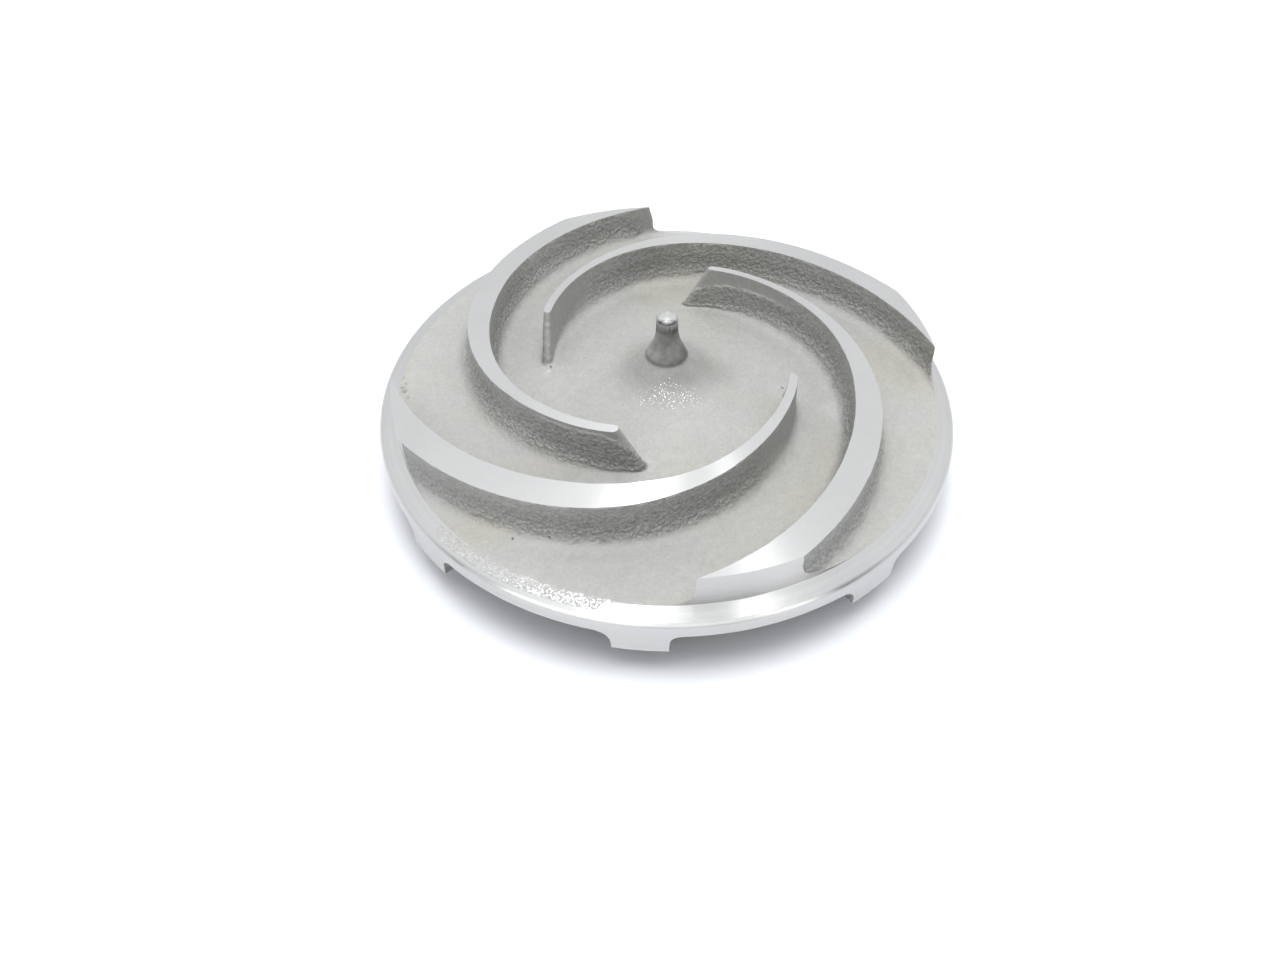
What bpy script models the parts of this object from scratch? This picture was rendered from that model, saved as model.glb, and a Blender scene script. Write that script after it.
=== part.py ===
"""Semi-open centrifugal pump impeller, one stainless steel casting turned on its working faces.

Metres, +Z up. The origin is on the impeller's axis, in the plane of the rear hub's face, which is what the
impeller stands on when it lies with its vanes up. Azimuths are in degrees, counter-clockwise from +X seen from
above. The vanes run clockwise on their way out.
"""
import bisect
import math

import bmesh
import bpy

MM = 0.001

# Driving sizes of the disc and its rim
OUTER_RADIUS = 101.6 * MM
HUB_PROJECTION = 18.3 * MM          # rear hub face to the back of the disc
RIM_HEIGHT = 4.9 * MM               # cylindrical part of the outside diameter
RIM_ROUND = 1.1 * MM                # rounding between outside diameter and turned band
BAND_INNER_RADIUS = 95.3 * MM
BAND_RISE = 2.2 * MM                # the turned band slopes up from the rim to the cast floor
RIM_BACK_CHAMFER = 0.4 * MM

# Cast floor between the vanes, as heights above the back of the disc
FLOOR_AT_BAND = RIM_HEIGHT + BAND_RISE
FLOOR_SLOPE = 0.080                 # rise of the floor for each unit of radius inwards
HUB_FLARE_RISE = 10.3 * MM          # extra rise of the floor at the nose
HUB_FLARE_LENGTH = 10.0 * MM        # radius over which that rise fades by e
FLOOR_RING_RADII = [12.5, 16.0, 20.5, 26.0, 33.0, 43.0, 58.0, 76.0]

# Nose in front of the hub: radius and height above the floor at the nose
NOSE_BASE_RADIUS = 7.7 * MM
NOSE_SINK = 3.0 * MM
NOSE_STEP = 0.9 * MM
NOSE_TIP_RADIUS = 3.6 * MM
NOSE_BELL = [(6.4, 2.6), (5.3, 4.6), (4.6, 6.6), (4.1, 8.8), (3.9, 11.0)]
NOSE_TIP_BOTTOM = 12.4 * MM
NOSE_HEIGHT = 16.2 * MM
NOSE_TIP_CHAMFER = 0.5 * MM

# Vanes: radii of both top edges at each turn of the wrap, read outwards from the inlet edge
VANE_COUNT = 4
FIRST_VANE_AZIMUTH = 160.9
VANE_WRAP = [0.0, 30.0, 60.0, 90.0, 120.0, 155.0]
CONCAVE_EDGE_RADII = [43.6, 49.6, 57.9, 66.4, 78.1, 95.3]
CONVEX_EDGE_RADII = [46.6, 53.1, 63.5, 75.6, 87.9, 106.2]
VANE_END_WRAP = 172.0
VANE_OUTLET_RADIUS = 95.2 * MM
VANE_TOP_AT_RIM = 20.0 * MM         # height of the vane tops above the back of the disc at the outlet radius
VANE_TOP_SLOPE = 0.1766             # rise of the turned vane tops for each unit of radius inwards
INLET_RAKE_TURN = 12.4              # the inlet edge's foot lies this much further back round the wrap
INLET_RAKE_FADE = 45.0              # wrap over which the rake fades out
INLET_ROUND_WRAP = 2.0              # the inlet edge is rounded over this much of the wrap
INLET_ROUND_SHARES = [0.06, 0.3]    # cross-sections in that rounding, as shares of it
CONCAVE_FILLET = 6.0 * MM
CONVEX_FILLET = 4.6 * MM
INLET_FILLET = 1.0 * MM             # both fillets are this small at the inlet edge
FILLET_GROWTH_WRAP = 35.0           # wrap over which they grow to their full size
DRAFT = math.tan(math.radians(1.0))
FOOT_DEPTH = 2.0 * MM               # how far a vane's foot reaches into the disc
FOOT_SPREAD = 1.1                   # width of the buried foot, as a share of the fillet above it
FILLET_SINK = 0.06 * MM             # fillets run out this deep in the face that they meet
VANE_STEP = 5.0                     # degrees of wrap from one cross-section to the next

# Pump-out vanes on the back of the disc
PUMP_OUT_COUNT = 8
PUMP_OUT_AZIMUTH = 266.4
PUMP_OUT_ANGLE = 10.0               # width of a pump-out vane's end, as an angle on the outside diameter
PUMP_OUT_HEIGHT = 8.0 * MM
PUMP_OUT_INNER_RADIUS = 34.0 * MM
PUMP_OUT_FILLETS = (3.8 * MM, 5.6 * MM)   # on the side towards greater azimuths and on the other

# Rear hub and its blind shaft socket
HUB_RADIUS = 25.4 * MM
HUB_ROOT_FILLET = 4.0 * MM
HUB_CHAMFER = 0.8 * MM
REGISTER_RADIUS = 16.0 * MM
REGISTER_DEPTH = 3.0 * MM
SOCKET_RADIUS = 12.7 * MM
SOCKET_DEPTH = 30.0 * MM
SOCKET_CHAMFER = 1.0 * MM
DRILL_POINT_RISE = 4.0 * MM

# Facets of the round faces
DISC_SEGMENTS = 96
NOSE_SEGMENTS = 32
SOCKET_SEGMENTS = 48
FILLET_STEPS = 3

# Satin turned and blasted stainless steel
STEEL_COLOUR = (0.62, 0.62, 0.60, 1.0)
STEEL_ROUGHNESS = 0.38

DISC_BACK = HUB_PROJECTION


def floor_height(radius):
    """Height of the cast floor at a radius."""
    cone = FLOOR_AT_BAND + FLOOR_SLOPE * (BAND_INNER_RADIUS - radius)
    flare = HUB_FLARE_RISE * math.exp(-(radius - NOSE_BASE_RADIUS) / HUB_FLARE_LENGTH)
    return DISC_BACK + cone + flare


def vane_top_height(radius):
    """Height of the cone that the vane tops are turned to."""
    return DISC_BACK + VANE_TOP_AT_RIM + VANE_TOP_SLOPE * (VANE_OUTLET_RADIUS - radius)


def natural_spline(knots, values):
    """Return a natural cubic spline through the values, which runs on straight past its ends."""
    count = len(knots)
    spans = [knots[i + 1] - knots[i] for i in range(count - 1)]
    slopes = [(values[i + 1] - values[i]) / spans[i] for i in range(count - 1)]
    diagonal = [1.0] * count
    rhs = [0.0] * count
    for i in range(1, count - 1):
        lower = spans[i - 1] / diagonal[i - 1] if i > 1 else 0.0
        diagonal[i] = 2.0 * (spans[i - 1] + spans[i]) - lower * (spans[i - 1] if i > 1 else 0.0)
        rhs[i] = 6.0 * (slopes[i] - slopes[i - 1]) - lower * rhs[i - 1]
    bends = [0.0] * count
    for i in range(count - 2, 0, -1):
        bends[i] = (rhs[i] - spans[i] * bends[i + 1]) / diagonal[i]

    def value_at(place):
        i = min(max(bisect.bisect_right(knots, place) - 1, 0), count - 2)
        span = spans[i]
        inside = min(max(place, knots[0]), knots[-1])
        left = knots[i + 1] - inside
        right = inside - knots[i]
        result = (bends[i] * left ** 3 + bends[i + 1] * right ** 3) / (6.0 * span)
        result += (values[i] / span - bends[i] * span / 6.0) * left
        result += (values[i + 1] / span - bends[i + 1] * span / 6.0) * right
        if place < knots[0]:
            result += (place - knots[0]) * (slopes[0] - bends[1] * span / 6.0)
        if place > knots[-1]:
            result += (place - knots[-1]) * (slopes[-1] + bends[-2] * span / 6.0)
        return result

    return value_at


concave_edge = natural_spline(VANE_WRAP, [radius * MM for radius in CONCAVE_EDGE_RADII])
convex_edge = natural_spline(VANE_WRAP, [radius * MM for radius in CONVEX_EDGE_RADII])


def polar_point(radius, azimuth, height):
    """Point at a radius, an azimuth in degrees and a height."""
    angle = math.radians(azimuth)
    return (radius * math.cos(angle), radius * math.sin(angle), height)


def arc_points(centre, radius, start, end, steps):
    """Points of an arc in the radius and height plane, angles in degrees."""
    points = []
    for step in range(steps + 1):
        angle = math.radians(start + (end - start) * step / steps)
        points.append((centre[0] + radius * math.cos(angle), centre[1] + radius * math.sin(angle)))
    return points


def object_from_bmesh(name, bm):
    """Clean the mesh, point its faces out and link it to the scene."""
    bmesh.ops.remove_doubles(bm, verts=bm.verts, dist=1e-6)
    bmesh.ops.recalc_face_normals(bm, faces=bm.faces)
    mesh = bpy.data.meshes.new(name)
    bm.to_mesh(mesh)
    bm.free()
    result = bpy.data.objects.new(name, mesh)
    bpy.context.collection.objects.link(result)
    return result


def turned_solid(name, profile, segments):
    """Spin a profile of (radius, height) points, whose ends lie on the axis, into a closed solid."""
    bm = bmesh.new()
    verts = [bm.verts.new((radius, 0.0, height)) for radius, height in profile]
    edges = [bm.edges.new(pair) for pair in zip(verts, verts[1:])]
    bmesh.ops.spin(bm, geom=verts + edges, cent=(0, 0, 0), axis=(0, 0, 1), angle=2 * math.pi,
                   steps=segments, use_merge=True)
    return object_from_bmesh(name, bm)


def lofted_solid(name, rings):
    """Bridge closed rings of points one after another and fill both ends."""
    bm = bmesh.new()
    loops = []
    for ring in rings:
        verts = [bm.verts.new(point) for point in ring]
        loops.append([bm.edges.new(pair) for pair in zip(verts, verts[1:] + verts[:1])])
    for first, second in zip(loops, loops[1:]):
        bmesh.ops.bridge_loops(bm, edges=first + second)
    for loop in (loops[0], loops[-1]):
        bmesh.ops.edgeloop_fill(bm, edges=loop)
    return object_from_bmesh(name, bm)


def disc_profile():
    """Outline of the disc, its rim and its rear hub, from the back of the axis round to its front."""
    profile = [(0.0, 0.0), (HUB_RADIUS - HUB_CHAMFER, 0.0), (HUB_RADIUS, HUB_CHAMFER)]
    fillet_centre = (HUB_RADIUS + HUB_ROOT_FILLET, DISC_BACK - HUB_ROOT_FILLET)
    profile += arc_points(fillet_centre, HUB_ROOT_FILLET, 180, 90, FILLET_STEPS)
    profile.append((OUTER_RADIUS - RIM_BACK_CHAMFER, DISC_BACK))
    profile.append((OUTER_RADIUS, DISC_BACK + RIM_BACK_CHAMFER))
    rim_centre = (OUTER_RADIUS - RIM_ROUND, DISC_BACK + RIM_HEIGHT - RIM_ROUND)
    profile += arc_points(rim_centre, RIM_ROUND, 0, 75, FILLET_STEPS)
    for radius in [BAND_INNER_RADIUS] + [ring * MM for ring in reversed(FLOOR_RING_RADII)]:
        profile.append((radius, floor_height(radius)))
    profile.append((NOSE_BASE_RADIUS, floor_height(NOSE_BASE_RADIUS) - NOSE_STEP))
    profile.append((0.0, floor_height(NOSE_BASE_RADIUS) - NOSE_STEP))
    return profile


def nose_profile():
    """Outline of the centre nose, from inside the hub up to its turned tip."""
    foot = floor_height(NOSE_BASE_RADIUS)
    base_radius = NOSE_BASE_RADIUS - NOSE_STEP / 3
    profile = [(0.0, foot - NOSE_SINK), (base_radius, foot - NOSE_SINK), (NOSE_BASE_RADIUS, foot)]
    profile += [(radius * MM, foot + height * MM) for radius, height in NOSE_BELL]
    profile.append((NOSE_TIP_RADIUS, foot + NOSE_TIP_BOTTOM))
    profile.append((NOSE_TIP_RADIUS, foot + NOSE_HEIGHT - NOSE_TIP_CHAMFER))
    profile.append((NOSE_TIP_RADIUS - NOSE_TIP_CHAMFER, foot + NOSE_HEIGHT))
    profile.append((0.0, foot + NOSE_HEIGHT))
    return profile


def socket_profile():
    """Outline of the space inside the rear hub: register, chamfer, shaft bore and drill point."""
    return [
        (0.0, -REGISTER_DEPTH),
        (REGISTER_RADIUS, -REGISTER_DEPTH),
        (REGISTER_RADIUS, REGISTER_DEPTH),
        (SOCKET_RADIUS + SOCKET_CHAMFER, REGISTER_DEPTH),
        (SOCKET_RADIUS, REGISTER_DEPTH + SOCKET_CHAMFER),
        (SOCKET_RADIUS, SOCKET_DEPTH),
        (0.0, SOCKET_DEPTH + DRILL_POINT_RISE),
    ]


def fillet_outline(fillet):
    """Outset and rise of a foot's points, from its buried edge to the top of its fillet."""
    outline = [(fillet * FOOT_SPREAD, -FOOT_DEPTH)]
    return outline + arc_points((fillet, fillet - FILLET_SINK), fillet, 270, 180, FILLET_STEPS)


def vane_section(wrap, vane_azimuth):
    """Closed cross-section of a vane in the radial plane at one turn of its wrap."""
    fade = max(0.0, 1.0 - wrap / INLET_RAKE_FADE)
    growth = min(1.0, wrap / FILLET_GROWTH_WRAP)
    blunt = math.sqrt(1.0 - max(0.0, 1.0 - wrap / INLET_ROUND_WRAP) ** 2)
    middle = (concave_edge(wrap) + convex_edge(wrap)) / 2
    height = vane_top_height(middle) - floor_height(middle)

    def point(edge, sign, outset, rise):
        turn = wrap - INLET_RAKE_TURN * fade * (height - rise) / height
        draft = DRAFT * (height - max(rise, 0.0))
        centre = (concave_edge(turn) + convex_edge(turn)) / 2
        radius = centre + (edge(turn) - centre + sign * (outset + draft)) * blunt
        place = vane_top_height(radius) if rise == height else floor_height(radius) + rise
        return polar_point(radius, vane_azimuth - turn, place)

    sides = []
    for edge, sign, full_fillet in ((concave_edge, -1, CONCAVE_FILLET), (convex_edge, 1, CONVEX_FILLET)):
        outline = fillet_outline(INLET_FILLET + (full_fillet - INLET_FILLET) * growth) + [(0.0, height)]
        sides.append([point(edge, sign, outset, rise) for outset, rise in outline])
    return sides[0] + sides[1][::-1]


def make_vane(index):
    """One vane, lofted from its raked inlet edge to well past the outlet radius."""
    azimuth = FIRST_VANE_AZIMUTH - 360.0 / VANE_COUNT * index
    steps = round(VANE_END_WRAP / VANE_STEP)
    wraps = [INLET_ROUND_WRAP * share for share in INLET_ROUND_SHARES] + [INLET_ROUND_WRAP]
    wraps += [VANE_END_WRAP * step / steps for step in range(1, steps + 1)]
    return lofted_solid(f"vane_{index + 1}_form", [vane_section(wrap, azimuth) for wrap in wraps])


def make_pump_out_vane(index):
    """One pump-out vane: a wedge with fillets where it meets the back of the disc."""
    middle = PUMP_OUT_AZIMUTH + 360.0 / PUMP_OUT_COUNT * index
    rings = []
    for radius in (PUMP_OUT_INNER_RADIUS, OUTER_RADIUS + FOOT_DEPTH):
        half = math.radians(PUMP_OUT_ANGLE / 2) * radius
        sides = []
        for sign, fillet in zip((1, -1), PUMP_OUT_FILLETS):
            outline = [(outset, DISC_BACK - rise) for outset, rise in fillet_outline(fillet)]
            outline.append((0.0, DISC_BACK - PUMP_OUT_HEIGHT))
            sides.append([(sign * (half + outset), height) for outset, height in outline])
        rings.append([polar_point(radius, middle + math.degrees(width / radius), height)
                      for width, height in sides[0] + sides[1][::-1]])
    return lofted_solid(f"pump_out_vane_{index + 1}_form", rings)


def turned_envelope(name, radius):
    """Plain round blank that trims whatever stands out past a turned diameter."""
    low = -REGISTER_DEPTH
    high = vane_top_height(0.0)
    return turned_solid(name, [(0.0, low), (radius, low), (radius, high), (0.0, high)], DISC_SEGMENTS)


def combine(target, operation, tool):
    """Add a Boolean to the target and keep its tool out of the finished part."""
    modifier = target.modifiers.new(tool.name, "BOOLEAN")
    modifier.operation = operation
    modifier.object = tool
    tool.hide_render = True
    tool.display_type = "WIRE"


def steel_material():
    """Blasted stainless steel casting."""
    material = bpy.data.materials.new("stainless_steel")
    material.use_nodes = True
    shader = material.node_tree.nodes["Principled BSDF"]
    shader.inputs["Base Color"].default_value = STEEL_COLOUR
    shader.inputs["Metallic"].default_value = 1.0
    shader.inputs["Roughness"].default_value = STEEL_ROUGHNESS
    return material


def build():
    for old in list(bpy.data.objects):
        bpy.data.objects.remove(old, do_unlink=True)
    casting = turned_solid("impeller_casting", disc_profile(), DISC_SEGMENTS)
    casting.data.materials.append(steel_material())
    outlet_blank = turned_envelope("outlet_blank", VANE_OUTLET_RADIUS)
    rim_blank = turned_envelope("rim_blank", OUTER_RADIUS)
    for index in range(VANE_COUNT):
        vane = make_vane(index)
        combine(vane, "INTERSECT", outlet_blank)
        combine(casting, "UNION", vane)
    for index in range(PUMP_OUT_COUNT):
        pump_out_vane = make_pump_out_vane(index)
        combine(pump_out_vane, "INTERSECT", rim_blank)
        combine(casting, "UNION", pump_out_vane)
    combine(casting, "UNION", turned_solid("nose_form", nose_profile(), NOSE_SEGMENTS))
    combine(casting, "DIFFERENCE", turned_solid("shaft_socket_form", socket_profile(), SOCKET_SEGMENTS))


build()
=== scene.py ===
import bisect
import math

import bmesh
import bpy
from bpy.props import FloatProperty, FloatVectorProperty, PointerProperty
from bpy.types import Operator, Panel, PropertyGroup
from mathutils import Matrix, Vector, noise


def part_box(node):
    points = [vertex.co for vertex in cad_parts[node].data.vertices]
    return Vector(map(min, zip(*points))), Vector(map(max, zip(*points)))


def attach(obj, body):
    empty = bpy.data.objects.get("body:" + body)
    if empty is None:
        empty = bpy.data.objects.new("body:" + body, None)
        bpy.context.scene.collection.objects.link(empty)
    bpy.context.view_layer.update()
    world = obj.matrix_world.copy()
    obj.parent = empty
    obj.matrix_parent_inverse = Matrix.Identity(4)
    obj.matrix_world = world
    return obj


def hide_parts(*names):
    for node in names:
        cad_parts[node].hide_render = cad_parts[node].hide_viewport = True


bl_info = {
    "name": "Pump Impeller",
    "version": (1, 0, 0),
    "blender": (4, 5, 0),
    "location": "View3D > Sidebar > Impeller",
    "description": "Builds a semi-open pump impeller, cast in stainless steel and turned",
    "category": "Object",
}

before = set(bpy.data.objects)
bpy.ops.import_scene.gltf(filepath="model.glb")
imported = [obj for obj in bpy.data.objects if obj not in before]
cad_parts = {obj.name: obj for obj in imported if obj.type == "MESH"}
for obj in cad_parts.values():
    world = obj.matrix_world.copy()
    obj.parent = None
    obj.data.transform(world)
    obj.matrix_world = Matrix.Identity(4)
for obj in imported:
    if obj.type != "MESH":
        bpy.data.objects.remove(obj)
CAD_NODE = "impeller_casting"
CAD_LOW, CAD_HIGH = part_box(CAD_NODE)
BODY = "root"

MM = 0.001

# Disc and rim
OUTER_RADIUS = (CAD_HIGH.x - CAD_LOW.x) / 2
DISC_BACK = 18.3 * MM
RIM_ROUND = 2.5 * MM
BAND_INNER_RADIUS = 95.3 * MM
BAND_SLOPE = math.radians(22)
RIM_BACK_CHAMFER = 0.4 * MM
CASTING_STOCK = 1.2 * MM  # metal that the lathe takes off the raw casting
FLOOR_STOCK = 0.36 * MM  # less of it lies on the floor at the rim

# Cast floor between the vanes
FLOOR_AT_BAND = 7.1 * MM  # height above the back of the disc
FLOOR_SLOPE = 0.080
HUB_FLARE_RISE = 10.3 * MM
HUB_FLARE_LENGTH = 10 * MM
FLOOR_RING_STEP = 2.5 * MM
FRONT_START = 2.45 * MM  # above the back of the disc

# Nose
NOSE_BASE_RADIUS = 7.1 * MM
NOSE_STEP = 0.9 * MM
NOSE_BELL = [(6.0, 2.3), (5.0, 4.3), (4.35, 6.4), (3.95, 8.6), (3.8, 11.0)]  # radius and height in mm
NOSE_TIP_RADIUS = 3.6 * MM
NOSE_TIP_BOTTOM = 14.6 * MM
NOSE_TIP_ROUND = 1.6 * MM
NOSE_TIP_DOME = 0.3 * MM
NOSE_TIP_ROUND_END = 80  # angle at which the rounding runs out in the dome
NOSE_TIP_FLAT = (0.4, 0.2)  # last point of the dome, as shares of the tip's radius and dome

# Centres of the two turned roundings, as radius and height
RIM_CENTRE = (OUTER_RADIUS - RIM_ROUND, DISC_BACK + FLOOR_AT_BAND - RIM_ROUND / math.cos(BAND_SLOPE)
              - (OUTER_RADIUS - RIM_ROUND - BAND_INNER_RADIUS) * math.tan(BAND_SLOPE))
TIP_CENTRE = (NOSE_TIP_RADIUS - NOSE_TIP_ROUND, CAD_HIGH.z - NOSE_TIP_DOME - NOSE_TIP_ROUND)

# Vanes: radii of both top edges in millimetres at each turn of the wrap, in degrees outwards from the inlet
VANE_COUNT = 4
FIRST_VANE_AZIMUTH = 160.9
VANE_WRAP = [0.0, 30.0, 60.0, 90.0, 120.0, 155.0]
CONCAVE_EDGE_RADII = [43.6, 49.6, 57.9, 66.4, 78.1, 95.3]
CONVEX_EDGE_RADII = [46.6, 53.1, 63.5, 75.6, 87.9, 106.2]
VANE_END_WRAP = 172.0
VANE_OUTLET_RADIUS = 95.2 * MM
VANE_TOP_AT_RIM = 20 * MM
VANE_TOPS_START = 30 * MM  # radius at which the cone of the vane tops starts
VANE_TOP_SLOPE = 0.1766
INLET_RAKE_TURN = 11.6
INLET_RAKE_FADE = 45.0
INLET_ROUND_WRAP = 2.0  # the inlet edge is rounded over this much of the wrap
INLET_ROUND_SHARES = (0.0, 0.08, 0.25, 0.5, 0.75)
INLET_FLAT_WRAP = 0.05  # the rounding starts this far in and leaves a narrow flat
TAIL_START_WRAP = 110.0  # one vane came out of the mould with a thicker tail
TAIL_GROWTH = [0.0, 0.0, 0.0, 0.9 * MM]
CONCAVE_FILLET = 7 * MM
CONVEX_FILLETS = (6 * MM, 6 * MM, 6 * MM, 8 * MM)
INLET_FILLET = 0.6 * MM  # both fillets are this small at the inlet edge
FILLET_GROWTH_WRAP = 35.0
TAIL_FILLETS = (6 * MM, 2.8 * MM, 3 * MM, 3 * MM)  # the inner ones change to this at the outlet
FILLET_SHRINK_WRAP = 8.0
DRAFT = math.tan(math.radians(1.0))
FOOT_DEPTH = 2 * MM
FOOT_SPREAD = 1.1  # width of the buried foot, as a share of the fillet above it
WALL_MIDDLE = 0.6  # share of the wall at which it gets a point between fillet and top
VANE_STEP = 2.0

# Pump-out vanes
PUMP_OUT_COUNT = 8
PUMP_OUT_AZIMUTH = 266.4
PUMP_OUT_ANGLE = 10.0
PUMP_OUT_HEIGHT = 8 * MM
PUMP_OUT_INNER_RADIUS = 34 * MM
PUMP_OUT_FILLETS = (3.8 * MM, 5.6 * MM)  # on the side towards greater azimuths and on the other

# Rear hub and shaft socket
HUB_RADIUS = 25.4 * MM
HUB_ROOT_FILLET = 4 * MM
HUB_CLEARANCE_RADIUS = 30 * MM
REGISTER_RADIUS = 16 * MM
REGISTER_DEPTH = 3 * MM
SOCKET_RADIUS = 12.7 * MM
SOCKET_DEPTH = 30 * MM
SOCKET_CHAMFER = 1 * MM
DRILL_POINT_RISE = 4 * MM
THREAD_PITCH = 2.1 * MM
THREAD_DEPTH = 1.1 * MM
THREAD_SHAPE = ((0.0, 0.0), (0.4, 1.0), (0.5, 1.0), (0.9, 0.0))  # shares of the pitch and of the depth

# Stretch of the rim where the casting came out low and the lathe only grazed it
GRAZED_AZIMUTHS = (221.0, 261.0)
GRAZED_FADE = 5.0
GRAZED_DEPTH = 0.07 * MM
GRAZED_FALL = 0.4292  # slope of the low stretch past the band's inner edge
GRAZED_RADII = ((96.2 * MM, 100.2 * MM), (94.8 * MM, 98.8 * MM))  # at its two ends, inner and outer
GRAZED_INNER_FADE = (1 * MM, 0.6 * MM)  # width of its soft edges, towards the axis and away from it
GRAZED_OUTER_FADE = 0.5 * MM
GRAZED_DULL = 0.6  # share of the bright peaks that the dull end lacks
GRAZED_DULL_AZIMUTHS = (258.0, 236.0)

# Grain and waves that sand and shrinkage leave: size of a feature, and its strength
GRAIN_SIZES = ((2.2 * MM, 1.0), (1.1 * MM, 0.6))
WAVE_SIZE = 16 * MM
WAVE_ON_FLOOR = 0.3  # share of the waviness that the level faces have
STEEP_NORMALS = (0.25, 0.97)  # upward part of the normal, from a wall's to the floor's
STEEP_NOISE = (3 * MM, 0.1)

# Strength of the grain, on the floor and up the walls: the shares say how far up
FLOOR_GRAIN = 0.2
TOP_GRAIN_LOSS = 0.4
TOP_GRAIN_SHARES = (0.6, 0.9)
FOOT_GRAIN_GAIN = 0.5
FOOT_GRAIN_START = (0.0, 0.10)
FOOT_GRAIN_END = (0.25, 0.45)
SEAM_GRAIN_LOSS = 0.7
NOSE_GRAIN = 0.2
NOSE_GRAIN_RADII = (12 * MM, 20 * MM)

# The walls are smooth near the inlets, on two of the vanes only above a faint mould seam
SEAM_SHARES = (0.0, 0.65, 0.0, 0.87)
SEAM_BENDS = (0.0, 17.0, 0.0, 8.0)  # turn at which each seam bends down to the foot
SEAM_BEND_LENGTHS = (1.0, 38.0, 1.0, 20.0)
SEAM_SOFTNESS = (0.02, 0.06)  # half the width of a seam and of its soft edge, as shares of the wall
SEAM_TONE = 0.10
SEAM_HEIGHT = 0.08 * MM
INLET_SMOOTH_WRAP = (26.0, 48.0)
INLET_SMOOTH_REACH = 3 * MM  # fade past the vane's own foot

# Ribs across the inlet edge of one vane, painted in as lighter and darker stripes: their light and shade,
# with no relief
RIBBED_VANE = 0
RIB_LIGHT_AND_SHADE = 0.6
RIB_SIZE = 1.3 * MM

# Corner of one vane's tail that came out of the mould rounded
WORN_PLACE = (-7.4 * MM, 94.4 * MM)
WORN_RADIUS = 7 * MM
WORN_DEPTH = 0.3 * MM
WORN_SMOOTH = (0.3, 1.0)  # grain comes back between these shares of that radius
WORN_SHARES = (0.5, 1.0)  # and it is rounded more and more between these shares of the wall

# Tones of the nose and of the flare round it; the nose's right side is painted in shade and its left side
# in light
NOSE_EDGE = 0.3 * MM
NOSE_TONE = -0.01
# painted shade on the nose's right side and painted light on its left
NOSE_SIDE_SHADE = -0.24
NOSE_BLOTCHES = ((2.5 * MM, 0.28), (1 * MM, 0.14))
NECK_HEIGHT = 13.2 * MM  # a dark ring of scale is left under the turned tip
NECK_TONE = -0.42
NECK_REACH = (2 * MM, 3.4 * MM)
FLARE_TONE = -0.17
FLARE_FRONT_TONE = 0.10
FLARE_REACH = (10 * MM, 22 * MM)

# Place in front of the nose where the blasted floor sparkles
SPARKLE_PLACE = (2.7 * MM, -15 * MM)
SPARKLE_LENGTH = 16 * MM
SPARKLE_WIDTH = 5.5 * MM
SPARKLE_START = (8 * MM, 10 * MM)

# Marks on the floor and in its corners, and broad patches painted lighter or darker; the dent right of the
# nose is also painted dark as the nose's shadow: x, y and radius in millimetres, tone, and depth in
# millimetres
MARKED_NORMAL = 0.3
CAST_MARKS = [
    # on the next line, the second mark is a dent right of the nose, painted darker as the nose's shadow
    (57.7, -12.4, 5, 0.11, -0.15), (18.8, 0, 8, -0.10, 0.15), (31, -29.5, 9, 0.06, 0),
    (-18, -18, 22, -0.08, 0), (-12, -84, 28, -0.07, 0), (22, -4, 18, -0.05, 0),
    (-62.3, 16.7, 2.5, -0.10, 0.2), (-24.7, -69.5, 1.5, -0.30, 0.5), (-93.2, -3.8, 1.3, -0.40, 0.6),
    (-94.2, -1.8, 1, -0.40, 0.6), (-93.3, 0.2, 0.9, -0.25, 0.4), (-94.9, 3.4, 0.9, -0.30, 0.4),
    (-91.5, -7.2, 1, -0.25, 0.4), (2, -10.5, 3.5, -0.10, 0.1), (6, -8.5, 3, -0.08, 0),
    (-41.9, 3.4, 1.2, 0.30, -0.2), (26.8, 69.4, 1.4, -0.30, 0.6),
]

# Stretches of the walls painted lighter or darker: x, y and reach in millimetres, and tone
WALL_TONES = [
    (-11, 61.9, 22, -0.18), (50.6, 55.3, 26, 0.09), (-41.7, 55.5, 24, 0.24),
    (-27.7, -38.6, 16, 0.08), (-48.9, -25.6, 26, 0.24), (-19.7, -68, 18, -0.08),
    (73.1, 39.4, 16, 0.06),
]

# Mesh fineness
VOXEL = 0.6 * MM
CASTING_TRIANGLES = 165000
RAW_SEGMENTS = 256
TURNED_SEGMENTS = 600
SOCKET_SEGMENTS = 200
MERGE_DISTANCE = 0.001 * MM
FILLET_STEPS = 6
ROUND_STEPS = 6
SOFTEN_ROUNDS = 8
SHARP_ANGLE = math.radians(32)

# Camera that took the photograph, solved from the rim circles and the vane tips
CAMERA_DISTANCE = 4.2153 * OUTER_RADIUS
CAMERA_ELEVATION = 47.388
CAMERA_AIM_HEIGHT = -0.225 * OUTER_RADIUS
CAMERA_PAN = 1.256
CAMERA_ROLL = 1.133
PHOTO_WIDTH = 1280
FOCAL_PIXELS = 1099.15
SENSOR_WIDTH = 36.0

# Ceiling lights: name, middle, width, depth, share of the brightness, and whether metal mirrors it
CEILING_LIGHTS = [
    ("tubes_over_table", (-0.09, 0.20, 1.58), 0.08, 0.80, 1.0, True),
    ("panel_over_table", (-0.125, 0.10, 1.60), 0.41, 0.60, 0.33, True),
    ("light_to_the_right", (0.445, 0.00, 1.60), 0.15, 0.50, 0.65, True),
    ("soft_fill", (0.00, -0.10, 1.62), 1.00, 1.00, 0.75, False),
]
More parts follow.
